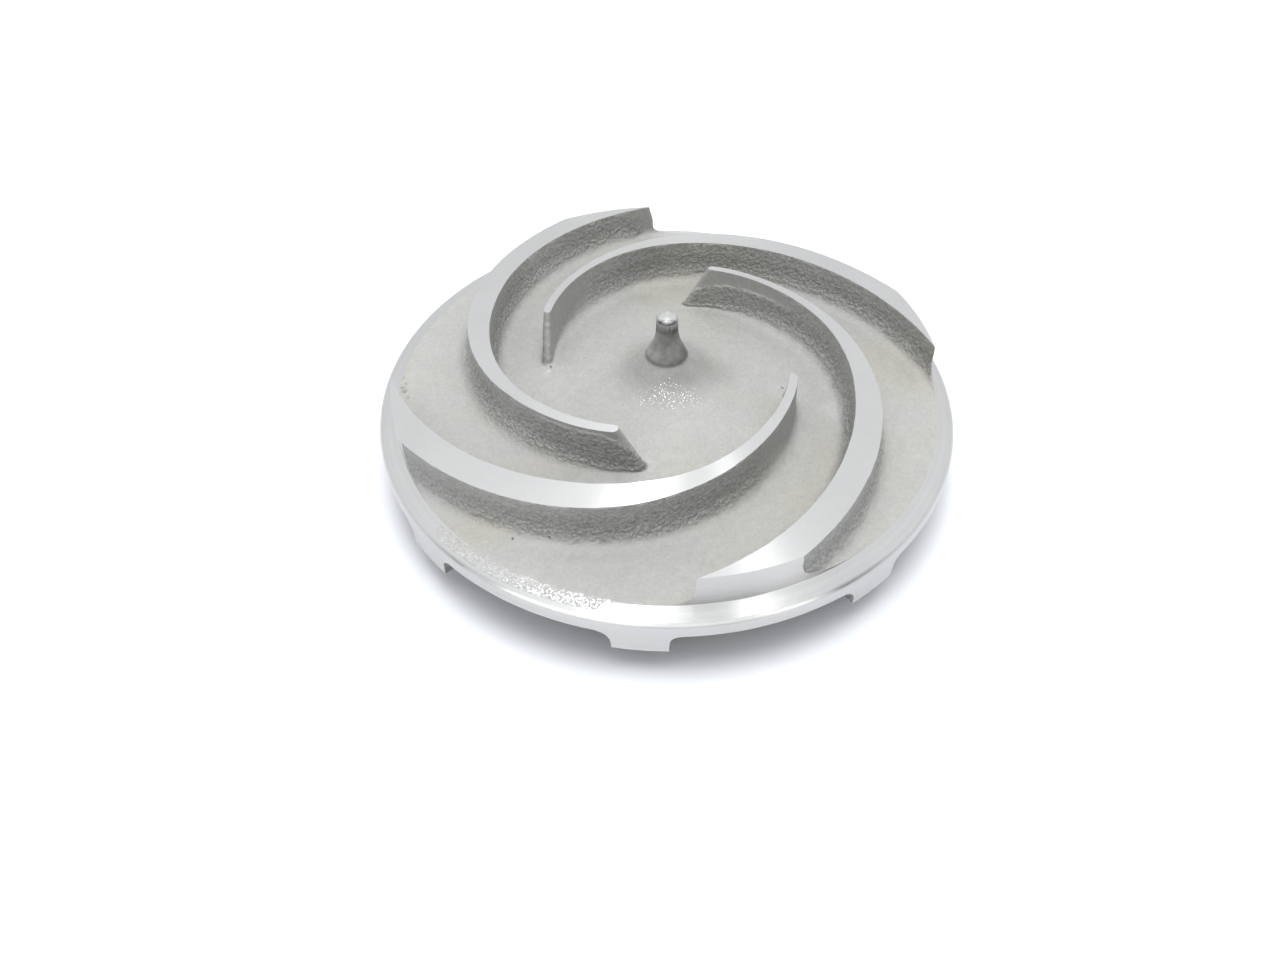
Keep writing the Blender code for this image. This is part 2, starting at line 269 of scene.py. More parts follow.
# Lights on the camera's side that only show as reflections: name, middle, width, height and share
FRONT_PANELS = [
    ("front_wall", (-0.7, -1.6, 1.00), 6.6, 1.5, 0.20),
    ("front_window", (-1.3, -1.6, 1.80), 2.2, 1.1, 0.65),
    ("front_lamp", (1.6, -1.6, 1.40), 1.0, 0.9, 0.60),
]
# The lit ceiling round the lamps: direction, cosine of its spread, and brightness above the room's
GLOW_DIRECTION = (-0.08, 0.24, 0.97)
GLOW_SPREAD = 0.795
GLOW_STRENGTH = 0.5
WATTS_PER_RADIANCE = 4.0

# Directions in which the room is darker: away from the camera and up are positive
FRONT_TURN = (-0.05, -0.45)
FRONT_RISE = (0.45, 0.75)
LOW_TURN = (0.30, -0.10)
LOW_DIMMING = (0.28, 0.4)
LOW_RISE = (0.05, 0.40)

TABLE_REACH = 3.0
TABLE_GAP = 0.02 * MM  # keeps the hub's face and the table from flickering

TURNED_SLOT = 1
POINT_ATTRIBUTES = ("wall", "grain", "shade", "sparkle", "grazed")

# Noises of the finishes: features per metre, detail and roughness
FINE_NOISE = (850, 3.0, 0.75)
COARSE_NOISE = (700, 3.0, 0.6)
STAIN_NOISE = (25, 2.0, 0.5)
SMUDGE_NOISE = (36, 4.0, 0.6)
CLOUD_NOISE = (300, 2.0, 0.5)
DUST_NOISE = (2000, 1.0, 0.5)
FLAKE_NOISE = (1600, 3.0, 0.7)
PATCH_NOISE = (45, 3.0, 0.5)
SCUFF_NOISE = (700, 2.0, 0.5)
BLOT_NOISE = (500, 2.0, 0.6)

# Parts of a noise's range that a finish uses
NOISE_SPAN = (0.3, 0.7)
LUMP_SPAN = (0.35, 0.65)
STAIN_SPAN = (0.48, 0.70)
SMUDGE_SPAN = (0.60, 0.75)
FLAKE_SPAN = (0.495, 0.535)
FLAKES_AT_EDGE = -0.16  # fewer flakes shine towards the edge of the grazed stretch

# Cast finish; cells and warps are in features per metre, heights in millimetres
WHITE = (1.0, 1.0, 1.0)
CRUST_SCALE = 800
CRUST_WARP = (900, 0.6 * MM)
CRUST_HEIGHT = 0.34
COARSE_HEIGHT = 1.3
FINE_HEIGHT = 0.25
# part of the crust cells' range over which their creases are painted in shade
CREASE_SPAN = (0.25, 0.75)
PIT_SCALE = 170
PIT_EDGE = (0.03, 0.09)
PIT_CHANCE = (0.93, 0.95)
PIT_DEPTH = 0.5
STAIN_SHARE = 0.7
STAIN_ON_WALLS = 0.3
# the dark line round the nose's foot is painted shadow
NOSE_SHADOW_LINE = (0.15 * MM, 0.35 * MM)  # dark line round the nose's foot
CAST_METALLIC = 0.4
CAST_ROUGHNESS = (0.62, 0.74)
BRIGHT_ROUGHNESS = 0.3  # of the glints and flakes, as a share of the casting's
GLINT_SCALE = 3100
GLINT_WARP = (2300, 0.25 * MM)
SPARKLE_END = (30 * MM, 40 * MM)
SPARKLE_SHARE = 0.16
SPARKLE_COLOUR = (0.75, 0.75, 0.74)
SPARKLE_COLOUR_DULL = (0.45, 0.45, 0.44)
GRAZED_COLOUR = (0.78, 0.78, 0.78)
GRAZED_COLOUR_DULL = (0.56, 0.56, 0.555)

# Turned finish
RING_SCALE = 900
RING_CONE = 0.7  # share of the height that moves the rings
RING_TONES = (0.008, 0.03)  # contrast of the rings on the vane tops and on the band
TURNED_ROUGHNESS = (0.24, 0.27)
TURNED_ANISOTROPY = 0.97
TIP_STAIN_TONE = 0.28
TIP_STAIN_ROUGHNESS = 0.4
TIP_STAIN_REACH = (2.6 * MM, 4.8 * MM)
TIP_STAIN_BLOTS = 3.4 * MM


def number_setting(name, description, number, unit="NONE"):
    """A number that a user can change."""
    return FloatProperty(name=name, description=description, default=number, unit=unit)


def colour_setting(name, description, colour):
    """A colour that a user can change."""
    return FloatVectorProperty(name=name, description=description, default=colour, subtype="COLOR")


class ImpellerSettings(PropertyGroup):
    """Sizes and finishes that a user would change."""

    grain_height: number_setting("Grain height", "Height of the grain on the walls", 0.14 * MM, "LENGTH")
    waviness: number_setting("Waviness", "How far the cast faces wander", 0.12 * MM, "LENGTH")
    cast_colour: colour_setting("Cast steel", "Colour of the blasted casting", (0.41, 0.407, 0.393))
    stain_colour: colour_setting("Stain", "Colour of the faint yellowish stains", (0.41, 0.395, 0.350))
    turned_colour: colour_setting("Turned steel", "Colour of the turned faces", (0.55, 0.548, 0.542))


class StudioSettings(PropertyGroup):
    """Brightness and colours of the table, the lights and the room."""

    light_brightness: number_setting("Ceiling lights", "Watts per steradian and square metre", 4.9)
    room_strength: number_setting("Room strength", "Brightness of the white room", 1.24)
    front_strength: number_setting("Front strength", "Brightness of the camera's side, low down", 0.10)
    room_colour: colour_setting("Room", "Tint of the room's light", (0.96, 0.98, 1.0))
    table_colour: colour_setting("Table", "Colour of the plain table", (0.785, 0.797, 0.825))


def floor_height(radius):
    """Height of the cast floor at a radius."""
    cone = FLOOR_AT_BAND + FLOOR_SLOPE * (BAND_INNER_RADIUS - radius)
    flare = HUB_FLARE_RISE * math.exp(-(radius - NOSE_BASE_RADIUS) / HUB_FLARE_LENGTH)
    return DISC_BACK + cone + flare


def vane_top_height(radius):
    """Height of the cone that the vane tops are turned to."""
    return DISC_BACK + VANE_TOP_AT_RIM + VANE_TOP_SLOPE * (VANE_OUTLET_RADIUS - radius)


def natural_spline(knots, values):
    """Natural cubic spline through the values, which runs on straight past its ends."""
    count = len(knots)
    spans = [knots[i + 1] - knots[i] for i in range(count - 1)]
    slopes = [(values[i + 1] - values[i]) / spans[i] for i in range(count - 1)]
    diagonal = [1.0] * count
    rhs = [0.0] * count
    for i in range(1, count - 1):
        lower = spans[i - 1] / diagonal[i - 1] if i > 1 else 0.0
        diagonal[i] = 2.0 * (spans[i - 1] + spans[i]) - lower * spans[i - 1]
        rhs[i] = 6.0 * (slopes[i] - slopes[i - 1]) - lower * rhs[i - 1]
    bends = [0.0] * count
    for i in range(count - 2, 0, -1):
        bends[i] = (rhs[i] - spans[i] * bends[i + 1]) / diagonal[i]

    def value_at(place):
        i = min(max(bisect.bisect_right(knots, place) - 1, 0), count - 2)
        span = spans[i]
        inside = min(max(place, knots[0]), knots[-1])
        left = knots[i + 1] - inside
        right = inside - knots[i]
        result = (bends[i] * left ** 3 + bends[i + 1] * right ** 3) / (6.0 * span)
        result += (values[i] / span - bends[i] * span / 6.0) * left
        result += (values[i + 1] / span - bends[i + 1] * span / 6.0) * right
        result += min(0.0, place - knots[0]) * (slopes[0] - bends[1] * spans[0] / 6.0)
        result += max(0.0, place - knots[-1]) * (slopes[-1] + bends[-2] * spans[-1] / 6.0)
        return result

    return value_at


concave_edge = natural_spline(VANE_WRAP, [radius * MM for radius in CONCAVE_EDGE_RADII])
convex_edge = natural_spline(VANE_WRAP, [radius * MM for radius in CONVEX_EDGE_RADII])


def smooth_step(low, high, value):
    """Ease from 0 at low to 1 at high; low may be the greater of the two."""
    share = min(1.0, max(0.0, (value - low) / (high - low)))
    return share * share * (3.0 - 2.0 * share)


def polar_point(radius, azimuth, height):
    """Point at a radius, an azimuth in degrees and a height."""
    angle = math.radians(azimuth)
    return (radius * math.cos(angle), radius * math.sin(angle), height)


def arc_points(centre, radius, start, end, steps):
    """Points of an arc in the radius and height plane, angles in degrees."""
    points = []
    for step in range(steps + 1):
        angle = math.radians(start + (end - start) * step / steps)
        points.append((centre[0] + radius * math.cos(angle), centre[1] + radius * math.sin(angle)))
    return points


def add_turned(bm, profile, segments):
    """Spin a profile of (radius, height) points, which ends on the axis, into a mesh's first shell."""
    verts = [bm.verts.new((radius, 0.0, height)) for radius, height in profile]
    edges = [bm.edges.new(pair) for pair in zip(verts, verts[1:])]
    bmesh.ops.spin(bm, geom=verts + edges, cent=(0, 0, 0), axis=(0, 0, 1), angle=2 * math.pi,
                   steps=segments, use_merge=True)
    bmesh.ops.remove_doubles(bm, verts=bm.verts, dist=MERGE_DISTANCE)


def add_loft(bm, rings):
    """Bridge closed rings of points one after another and fill both ends."""
    loops = []
    for ring in rings:
        verts = [bm.verts.new(point) for point in ring]
        loops.append([bm.edges.new(pair) for pair in zip(verts, verts[1:] + verts[:1])])
    for first, second in zip(loops, loops[1:]):
        bmesh.ops.bridge_loops(bm, edges=first + second)
    for loop in (loops[0], loops[-1]):
        bmesh.ops.edgeloop_fill(bm, edges=loop)


def mesh_object(name, bm, materials):
    """Turn a bmesh into an object at the origin with its faces pointing out."""
    bmesh.ops.recalc_face_normals(bm, faces=bm.faces)
    mesh = bpy.data.meshes.new(name)
    bm.to_mesh(mesh)
    bm.free()
    for material in materials:
        mesh.materials.append(material)
    result = bpy.data.objects.new(name, mesh)
    bpy.context.scene.collection.objects.link(result)
    return result


def apply_modifiers(piece):
    """Replace a piece's mesh with the one that its modifiers give."""
    depsgraph = bpy.context.evaluated_depsgraph_get()
    made = bpy.data.meshes.new_from_object(piece.evaluated_get(depsgraph))
    old = piece.data
    piece.modifiers.clear()
    piece.data = made
    bpy.data.meshes.remove(old)


def raw_disc_profile():
    """Outline of the unturned casting: rear hub, disc, floor and nose."""
    raw_radius = OUTER_RADIUS + CASTING_STOCK
    fillet_centre = (HUB_RADIUS + HUB_ROOT_FILLET, DISC_BACK - HUB_ROOT_FILLET)
    profile = [
        (0.0, -CASTING_STOCK),
        (HUB_RADIUS, -CASTING_STOCK),
        *arc_points(fillet_centre, HUB_ROOT_FILLET, 180, 90, FILLET_STEPS),
        (raw_radius, DISC_BACK),
        (raw_radius, floor_height(raw_radius) + FLOOR_STOCK),
        (OUTER_RADIUS, floor_height(OUTER_RADIUS) + FLOOR_STOCK),
    ]
    radius = BAND_INNER_RADIUS
    while radius > NOSE_BASE_RADIUS + FLOOR_RING_STEP / 2:
        profile.append((radius, floor_height(radius)))
        radius -= FLOOR_RING_STEP
    foot = floor_height(NOSE_BASE_RADIUS)
    profile += [(NOSE_BASE_RADIUS, foot - NOSE_STEP), (NOSE_BASE_RADIUS, foot)]
    profile += [(radius * MM, foot + height * MM) for radius, height in NOSE_BELL]
    top = CAD_HIGH.z + CASTING_STOCK
    return profile + [(NOSE_BELL[-1][0] * MM, top), (0.0, top)]


def turned_profile():
    """Outline of what the lathe leaves: hub face, rim, band, vane ends, vane tops and nose tip."""
    tip_bottom = floor_height(NOSE_BASE_RADIUS) + NOSE_TIP_BOTTOM
    pump_out_face = DISC_BACK - PUMP_OUT_HEIGHT
    band_height = DISC_BACK + FLOOR_AT_BAND
    return [
        (0.0, 0.0),
        (HUB_CLEARANCE_RADIUS, 0.0),
        (HUB_CLEARANCE_RADIUS, pump_out_face),
        (OUTER_RADIUS - RIM_BACK_CHAMFER, pump_out_face),
        (OUTER_RADIUS, pump_out_face + RIM_BACK_CHAMFER),
        *arc_points(RIM_CENTRE, RIM_ROUND, 0, 90 - math.degrees(BAND_SLOPE), ROUND_STEPS),
        (BAND_INNER_RADIUS, band_height),
        (VANE_OUTLET_RADIUS, band_height + BAND_INNER_RADIUS - VANE_OUTLET_RADIUS),
        (VANE_OUTLET_RADIUS, vane_top_height(VANE_OUTLET_RADIUS)),
        (VANE_TOPS_START, vane_top_height(VANE_TOPS_START)),
        (VANE_TOPS_START, tip_bottom),
        (NOSE_TIP_RADIUS, tip_bottom),
        *arc_points(TIP_CENTRE, NOSE_TIP_ROUND, 0, NOSE_TIP_ROUND_END, ROUND_STEPS),
        (NOSE_TIP_RADIUS * NOSE_TIP_FLAT[0], CAD_HIGH.z - NOSE_TIP_DOME * NOSE_TIP_FLAT[1]),
        (0.0, CAD_HIGH.z),
    ]


def socket_profile():
    """Outline of the socket in the rear hub: register, chamfer, threaded bore and drill point."""
    profile = [
        (0.0, -REGISTER_DEPTH),
        (REGISTER_RADIUS, -REGISTER_DEPTH),
        (REGISTER_RADIUS, REGISTER_DEPTH),
        (SOCKET_RADIUS + SOCKET_CHAMFER, REGISTER_DEPTH),
        (SOCKET_RADIUS, REGISTER_DEPTH + SOCKET_CHAMFER),
    ]
    height = REGISTER_DEPTH + SOCKET_CHAMFER + THREAD_PITCH / 2
    while height < SOCKET_DEPTH - 2 * THREAD_PITCH:
        for along, depth in THREAD_SHAPE:
            profile.append((SOCKET_RADIUS + THREAD_DEPTH * depth, height + THREAD_PITCH * along))
        height += THREAD_PITCH
    return profile + [(SOCKET_RADIUS, SOCKET_DEPTH), (0.0, SOCKET_DEPTH + DRILL_POINT_RISE)]


def fillet_outline(fillet):
    """Outset and rise of a foot's points, from its buried edge to the top of its fillet."""
    outline = [(fillet * FOOT_SPREAD, -FOOT_DEPTH)]
    return outline + arc_points((fillet, fillet), fillet, 270, 180, FILLET_STEPS)


def vane_section(wrap, index):
    """Closed cross-section of an unturned vane at one turn of its wrap."""
    vane_azimuth = FIRST_VANE_AZIMUTH - 360.0 / VANE_COUNT * index
    fade = max(0.0, 1.0 - wrap / INLET_RAKE_FADE)
    growth = min(1.0, wrap / FILLET_GROWTH_WRAP)
    shrink = smooth_step(VANE_WRAP[-1] - FILLET_SHRINK_WRAP, VANE_WRAP[-1], wrap)
    blunt = math.sqrt(1.0 - max(0.0, 1.0 - (wrap + INLET_FLAT_WRAP) / INLET_ROUND_WRAP) ** 2)
    middle = (concave_edge(wrap) + convex_edge(wrap)) / 2
    height = vane_top_height(middle) - floor_height(middle)

    def point(edge, sign, outset, rise):
        turn = wrap - INLET_RAKE_TURN * fade * (height - rise) / height
        draft = DRAFT * (height - max(rise, 0.0))
        centre = (concave_edge(turn) + convex_edge(turn)) / 2
        radius = centre + (edge(turn) - centre + sign * (outset + draft)) * blunt
        if sign < 0:
            tail = max(0.0, turn - TAIL_START_WRAP) / (VANE_WRAP[-1] - TAIL_START_WRAP)
            radius -= TAIL_GROWTH[index] * tail
        place = vane_top_height(radius) + rise - height if rise >= height else floor_height(radius) + rise
        return polar_point(radius, vane_azimuth - turn, place)

    sides = []
    inner_fillet = CONCAVE_FILLET + (TAIL_FILLETS[index] - CONCAVE_FILLET) * shrink
    for edge, sign, fillet in ((concave_edge, -1, inner_fillet), (convex_edge, 1, CONVEX_FILLETS[index])):
        outline = fillet_outline(INLET_FILLET + (fillet - INLET_FILLET) * growth)
        outline += [(0.0, height * WALL_MIDDLE), (0.0, height), (0.0, height + CASTING_STOCK)]
        sides.append([point(edge, sign, outset, rise) for outset, rise in outline])
    return sides[0] + sides[1][::-1]


def add_vane(bm, index):
    """One vane, lofted from its raked inlet edge to well past the outlet radius."""
    steps = round(VANE_END_WRAP / VANE_STEP)
    wraps = [INLET_ROUND_WRAP * share for share in INLET_ROUND_SHARES]
    wraps += [VANE_END_WRAP * step / steps for step in range(1, steps + 1)]
    sections = []
    for wrap in wraps:
        section = vane_section(wrap, index)
        inner = [Vector(point).xy.length for point in section[:len(section) // 2]]
        if min(inner[1:]) > OUTER_RADIUS + CASTING_STOCK:
            break
        sections.append(section)
    add_loft(bm, sections)


def add_pump_out_vane(bm, index):
    """One pump-out vane: a wedge with fillets where it meets the back of the disc."""
    middle = PUMP_OUT_AZIMUTH + 360.0 / PUMP_OUT_COUNT * index
    rings = []
    for radius in (PUMP_OUT_INNER_RADIUS, OUTER_RADIUS + CASTING_STOCK):
        half = math.radians(PUMP_OUT_ANGLE / 2) * radius
        sides = []
        for sign, fillet in zip((1, -1), PUMP_OUT_FILLETS):
            outline = [(outset, DISC_BACK - rise) for outset, rise in fillet_outline(fillet)]
            outline.append((0.0, DISC_BACK - PUMP_OUT_HEIGHT - CASTING_STOCK))
            sides.append([(sign * (half + outset), height) for outset, height in outline])
        rings.append([polar_point(radius, middle + math.degrees(width / radius), height)
                      for width, height in sides[0] + sides[1][::-1]])
    add_loft(bm, rings)


def wall_share(place):
    """How far up a vane's wall a point lies: 0 at the floor and 1 at the turned top."""
    radius = place.xy.length
    floor = floor_height(max(radius, NOSE_BASE_RADIUS))
    return (place.z - floor) / (vane_top_height(radius) - floor)


def azimuth_of(place):
    """Azimuth of a point, from 0 to 360 degrees."""
    return math.degrees(math.atan2(place.y, place.x)) % 360.0


def grazed_share(place):
    """How far a point lies inside the stretch where the casting came out low at the rim."""
    azimuth = azimuth_of(place)
    start, end = GRAZED_AZIMUTHS
    along = smooth_step(start - GRAZED_FADE, start + GRAZED_FADE, azimuth)
    along *= 1.0 - smooth_step(end - GRAZED_FADE, end + GRAZED_FADE, azimuth)
    share = (azimuth - start) / (end - start)
    inner, outer = (first + (last - first) * share for first, last in zip(*GRAZED_RADII))
    radius = place.xy.length
    inward = smooth_step(inner - GRAZED_INNER_FADE[0], inner + GRAZED_INNER_FADE[1], radius)
    outward = 1.0 - smooth_step(outer - GRAZED_OUTER_FADE, outer + GRAZED_OUTER_FADE, radius)
    return along * inward * outward


def vane_turn(place):
    """The vane that a point of a wall belongs to, and the turn from its inlet to the point."""
    pitch = 360.0 / VANE_COUNT
    around = FIRST_VANE_AZIMUTH - azimuth_of(place)
    vane = round(around // pitch) % VANE_COUNT
    turn = around % pitch
    if turn > pitch - 2 * INLET_RAKE_TURN:
        vane = (vane + 1) % VANE_COUNT
        turn -= pitch
    return vane, turn


def seam_share(place, share, vane, turn):
    """Strength of the mould seam at a point, and how far above it the point lies, from 0 to 1."""
    near = 1.0 - smooth_step(*INLET_SMOOTH_WRAP, turn)
    widest = convex_edge(turn) + CONVEX_FILLETS[vane] / 2
    near *= 1.0 - smooth_step(widest, widest + INLET_SMOOTH_REACH, place.xy.length)
    seam = SEAM_SHARES[vane]
    if seam == 0.0:
        return 0.0, near
    seam *= 1.0 - (max(0.0, SEAM_BENDS[vane] - turn) / SEAM_BEND_LENGTHS[vane]) ** 2
    line = 1.0 - smooth_step(*SEAM_SOFTNESS, abs(share - seam))
    return near * line, near * smooth_step(seam, seam + SEAM_SOFTNESS[1], share)


def front_grain(place, steep, share, above_seam):
    """Strength of the grain at a point of the front, next to that of the other faces."""
    foot = smooth_step(*FOOT_GRAIN_START, share) * (1.0 - smooth_step(*FOOT_GRAIN_END, share))
    grain = 1.0 - TOP_GRAIN_LOSS * smooth_step(*TOP_GRAIN_SHARES, share)
    grain *= 1.0 + FOOT_GRAIN_GAIN * steep * foot
    grain *= 1.0 - SEAM_GRAIN_LOSS * above_seam
    return grain * (NOSE_GRAIN + (1.0 - NOSE_GRAIN) * smooth_step(*NOSE_GRAIN_RADII, place.xy.length))


def nose_tone(place):
    """Tone of the nose and of the flare round it, next to that of the floor, with painted shade on the
    nose's right side and painted light on its left.
    """
    radius = place.xy.length
    tone = (FLARE_TONE + FLARE_FRONT_TONE * place.y / radius) * (1.0 - smooth_step(*FLARE_REACH, radius))
    foot = floor_height(NOSE_BASE_RADIUS)
    if radius < NOSE_BASE_RADIUS + NOSE_EDGE and place.z > foot:
        # painted shade: the nose is darker towards its right side and lighter towards its left
        tone += NOSE_TONE + NOSE_SIDE_SHADE * place.x / NOSE_BASE_RADIUS
        tone += sum(strength * noise.noise(place / size) for size, strength in NOSE_BLOTCHES)
        tone += NECK_TONE * (1.0 - smooth_step(*NECK_REACH, abs(place.z - foot - NECK_HEIGHT)))
    return tone


def wall_tone(place, share, vane, turn):
    """Tone of a steep face at a point, next to that of the other steep faces: patches painted lighter or
    darker, and the ribs' painted light and shade.
    """
    tone = 0.0
    for x, y, reach, lighter in WALL_TONES:
        tone += lighter * smooth_step(reach * MM, 0.0, (place.xy - Vector((x, y)) * MM).length)
    if vane == RIBBED_VANE and abs(turn + INLET_RAKE_TURN * (1.0 - share)) < INLET_ROUND_WRAP:
        # painted light and shade of the ribs: lighter and darker stripes up the inlet edge, with no relief
        tone += RIB_LIGHT_AND_SHADE * noise.noise(Vector((0.0, 0.0, place.z)) / RIB_SIZE)
    return tone


def cast_marks(place):
    """Tone and depth of the marks on the floor at a point; some tones are broad painted patches and painted
    shadow.
    """
    tone = 0.0
    depth = 0.0
    for x, y, size, mark_tone, mark_depth in CAST_MARKS:
        inside = 1.0 - ((place.xy - Vector((x, y)) * MM).length / (size * MM)) ** 2
        if inside > 0.0:
            tone += mark_tone * inside
            depth += mark_depth * MM * inside ** 2
    return tone, depth


def sparkle_share(place):
    """Strength of the sparkle in front of the nose at a point, from 0 to 1."""
    away = (place.xy - Vector(SPARKLE_PLACE)) / SPARKLE_LENGTH
    away.y *= SPARKLE_LENGTH / SPARKLE_WIDTH
    return max(0.0, 1.0 - away.length) * smooth_step(*SPARKLE_START, place.xy.length)


def front_texture(place, normal, steep):
    """Grain, tone, sparkle, grazed share and rise of a point on the front of the casting."""
    vane, turn = vane_turn(place)
    share = wall_share(place)
    seam, above_seam = seam_share(place, share, vane, turn)
    worn = (place.xy - Vector(WORN_PLACE)).length / WORN_RADIUS
    grain = front_grain(place, steep, share, above_seam) * smooth_step(*WORN_SMOOTH, worn)
    tone = nose_tone(place) + (SEAM_TONE * seam + wall_tone(place, share, vane, turn)) * steep
    rise = SEAM_HEIGHT * seam * steep
    rise -= WORN_DEPTH * max(0.0, 1.0 - worn * worn) * steep * smooth_step(*WORN_SHARES, share)
    if normal.z <= MARKED_NORMAL:
        return grain, tone, 0.0, 0.0, rise
    mark_tone, mark_depth = cast_marks(place)
    grazed = grazed_share(place)
    fall = GRAZED_FALL * max(0.0, place.xy.length - BAND_INNER_RADIUS)
    rise -= mark_depth + grazed * (fall + GRAZED_DEPTH)
    return grain, tone + mark_tone, sparkle_share(place), grazed, rise


def roughen(mesh, settings):
    """Move the points of the raw casting along their normals, as sand and shrinkage do."""
    bm = bmesh.new()
    bm.from_mesh(mesh)
    bm.normal_update()
    layers = [bm.verts.layers.float.new(name) for name in POINT_ATTRIBUTES]
    moves = []
    for vert in bm.verts:
        place = vert.co
        wobble = STEEP_NOISE[1] * noise.noise(place / STEEP_NOISE[0])
        steep = 1.0 - smooth_step(*STEEP_NORMALS, abs(vert.normal.z) + wobble)
        grain = FLOOR_GRAIN + (1.0 - FLOOR_GRAIN) * steep
        tone, sparkle, grazed, rise = 0.0, 0.0, 0.0, 0.0
        if place.z > DISC_BACK + FRONT_START:
            share, tone, sparkle, grazed, rise = front_texture(place, vert.normal, steep)
            grain *= share
        lumps = sum(strength * noise.noise(place / size) for size, strength in GRAIN_SIZES)
        wave = noise.noise(place / WAVE_SIZE) * (WAVE_ON_FLOOR + (1.0 - WAVE_ON_FLOOR) * steep)
        moves.append(rise + settings.waviness * wave + settings.grain_height * lumps * max(grain, grazed))
        grazed *= 1.0 - GRAZED_DULL * smooth_step(*GRAZED_DULL_AZIMUTHS, azimuth_of(place))
        for layer, value in zip(layers, (steep, grain, tone, sparkle, grazed)):
            vert[layer] = value
    for vert, move in zip(bm.verts, moves):
        vert.co += vert.normal * move
    bm.to_mesh(mesh)
    bm.free()


def mark_edges(mesh):
    """Shade smooth, but keep the edges of the turned faces and of sharp corners crisp."""
    mesh.shade_smooth()
    bm = bmesh.new()
    bm.from_mesh(mesh)
    for edge in bm.edges:
        faces = edge.link_faces
        if len(faces) == 2:
            borders = faces[0].material_index != faces[1].material_index
            edge.smooth = not borders and faces[0].normal.angle(faces[1].normal, 0.0) < SHARP_ANGLE
    bm.to_mesh(mesh)
    bm.free()


def round_share(radius, height):
    """Direction of the turned rounding that a point lies on, or None where it lies on none."""
    for centre, size in ((RIM_CENTRE, RIM_ROUND), (TIP_CENTRE, NOSE_TIP_ROUND)):
        way = Vector((radius - centre[0], height - centre[1]))
        if min(way) > 0.0 and abs(way.length - size) < size * 0.02:
            return way
    return None


def smooth_turned_faces(mesh):
    """Give the turned faces the normals of their true round shapes."""
    normals = [Vector() for _ in mesh.loops]
    for face in mesh.polygons:
        if face.material_index != TURNED_SLOT:
            continue
        radial = face.normal.dot(Vector((*face.center.xy, 0.0)).normalized())
        on_round = round_share(face.center.xy.length, face.center.z) is not None
        for index in face.loop_indices:
            place = mesh.vertices[mesh.loops[index].vertex_index].co
            way = round_share(place.xy.length, place.z) if on_round else None
            out, up = way or (radial, face.normal.z)
            normal = Vector((*place.xy, 0.0)).normalized() * out
            normal.z = up
            normals[index] = normal.normalized()
    mesh.normals_split_custom_set(normals)


def new_material(name):
    """Node material with a Principled shader."""
    material = bpy.data.materials.new(name)
    material.use_nodes = True
    return material, material.node_tree, material.node_tree.nodes["Principled BSDF"]


def connect(socket, value):
    """Feed a socket from another one, or set it to a number, vector or colour."""
    if hasattr(value, "links"):
        socket.id_data.links.new(value, socket)
    elif socket.type == "RGBA":
        socket.default_value = (*value, 1.0)
    else:
        socket.default_value = value


def feed(node, **values):
    """Connect or set the inputs of a node, each by its name."""
    for name, value in values.items():
        connect(node.inputs[name.replace("_", " ")], value)


def add_node(tree, kind, **values):
    """Add a shader node and feed its inputs."""
    node = tree.nodes.new("ShaderNode" + kind)
    feed(node, **values)
    return node


def add_noise(tree, vector, scale, detail, roughness):
    """Noise texture in object space; scale is in features per metre."""
    node = add_node(tree, "TexNoise", Vector=vector, Scale=scale, Detail=detail, Roughness=roughness)
    return node.outputs["Fac"]


def add_range(tree, value, low, high, to_low=0.0, to_high=1.0):
    """Map a value from one range to another, clamped."""
    node = add_node(tree, "MapRange", Value=value, From_Min=low, From_Max=high)
    feed(node, To_Min=to_low, To_Max=to_high)
    return node.outputs["Result"]


def add_mix(tree, factor, first, second):
    """Mix two colours; either may be a socket or a plain colour."""
    node = add_node(tree, "Mix")
    node.data_type = "RGBA"
    inputs = {socket.identifier: socket for socket in node.inputs}
    for name, value in (("Factor_Float", factor), ("A_Color", first), ("B_Color", second)):
        connect(inputs[name], value)
    return next(socket for socket in node.outputs if socket.type == "RGBA")


def add_math(tree, operation, first, second=0.0):
    """One math step on sockets or plain numbers."""
    node = add_node(tree, "Math")
    node.operation = operation
    connect(node.inputs[0], first)
    connect(node.inputs[1], second)
    return node.outputs["Value"]


def product(tree, *values):
    """Multiply several numbers together."""
    result = values[0]
    for value in values[1:]:
        result = add_math(tree, "MULTIPLY", result, value)
    return result


def add_vector_math(tree, operation, *values):
    """One math step on vectors; returns the node, since its result is a vector or a number."""
    node = add_node(tree, "VectorMath")
    node.operation = operation
    for socket, value in zip(node.inputs, values):
        connect(socket, value)
    return node


def add_tint(tree, colour, tone):
    """Multiply a colour by a number."""
    node = add_vector_math(tree, "SCALE", colour)
    feed(node, Scale=tone)
    return node.outputs["Vector"]


def add_radius(tree, vector):
    """Distance from the axis of the piece."""
    flat = add_vector_math(tree, "MULTIPLY", vector, (1.0, 1.0, 0.0))
    return add_vector_math(tree, "LENGTH", flat.outputs["Vector"]).outputs["Value"]


def add_attribute(tree, name):
    """A number stored on the points of the mesh."""
    node = add_node(tree, "Attribute")
    node.attribute_name = name
    return node.outputs["Fac"]


def add_cells(tree, vector, scale):
    """Voronoi cells: distance to the nearest point, and that point's random value."""
    node = add_node(tree, "TexVoronoi", Vector=vector, Scale=scale)
    split = add_node(tree, "SeparateColor", Color=node.outputs["Color"])
    return node.outputs["Distance"], split.outputs["Red"]


def add_warp(tree, vector, scale, amount):
    """Shift the place that a texture looks at, so that its shapes turn ragged."""
    wobble = add_node(tree, "TexNoise", Vector=vector, Scale=scale).outputs["Color"]
    return add_vector_math(tree, "MULTIPLY_ADD", wobble, (amount, amount, amount), vector).outputs["Vector"]


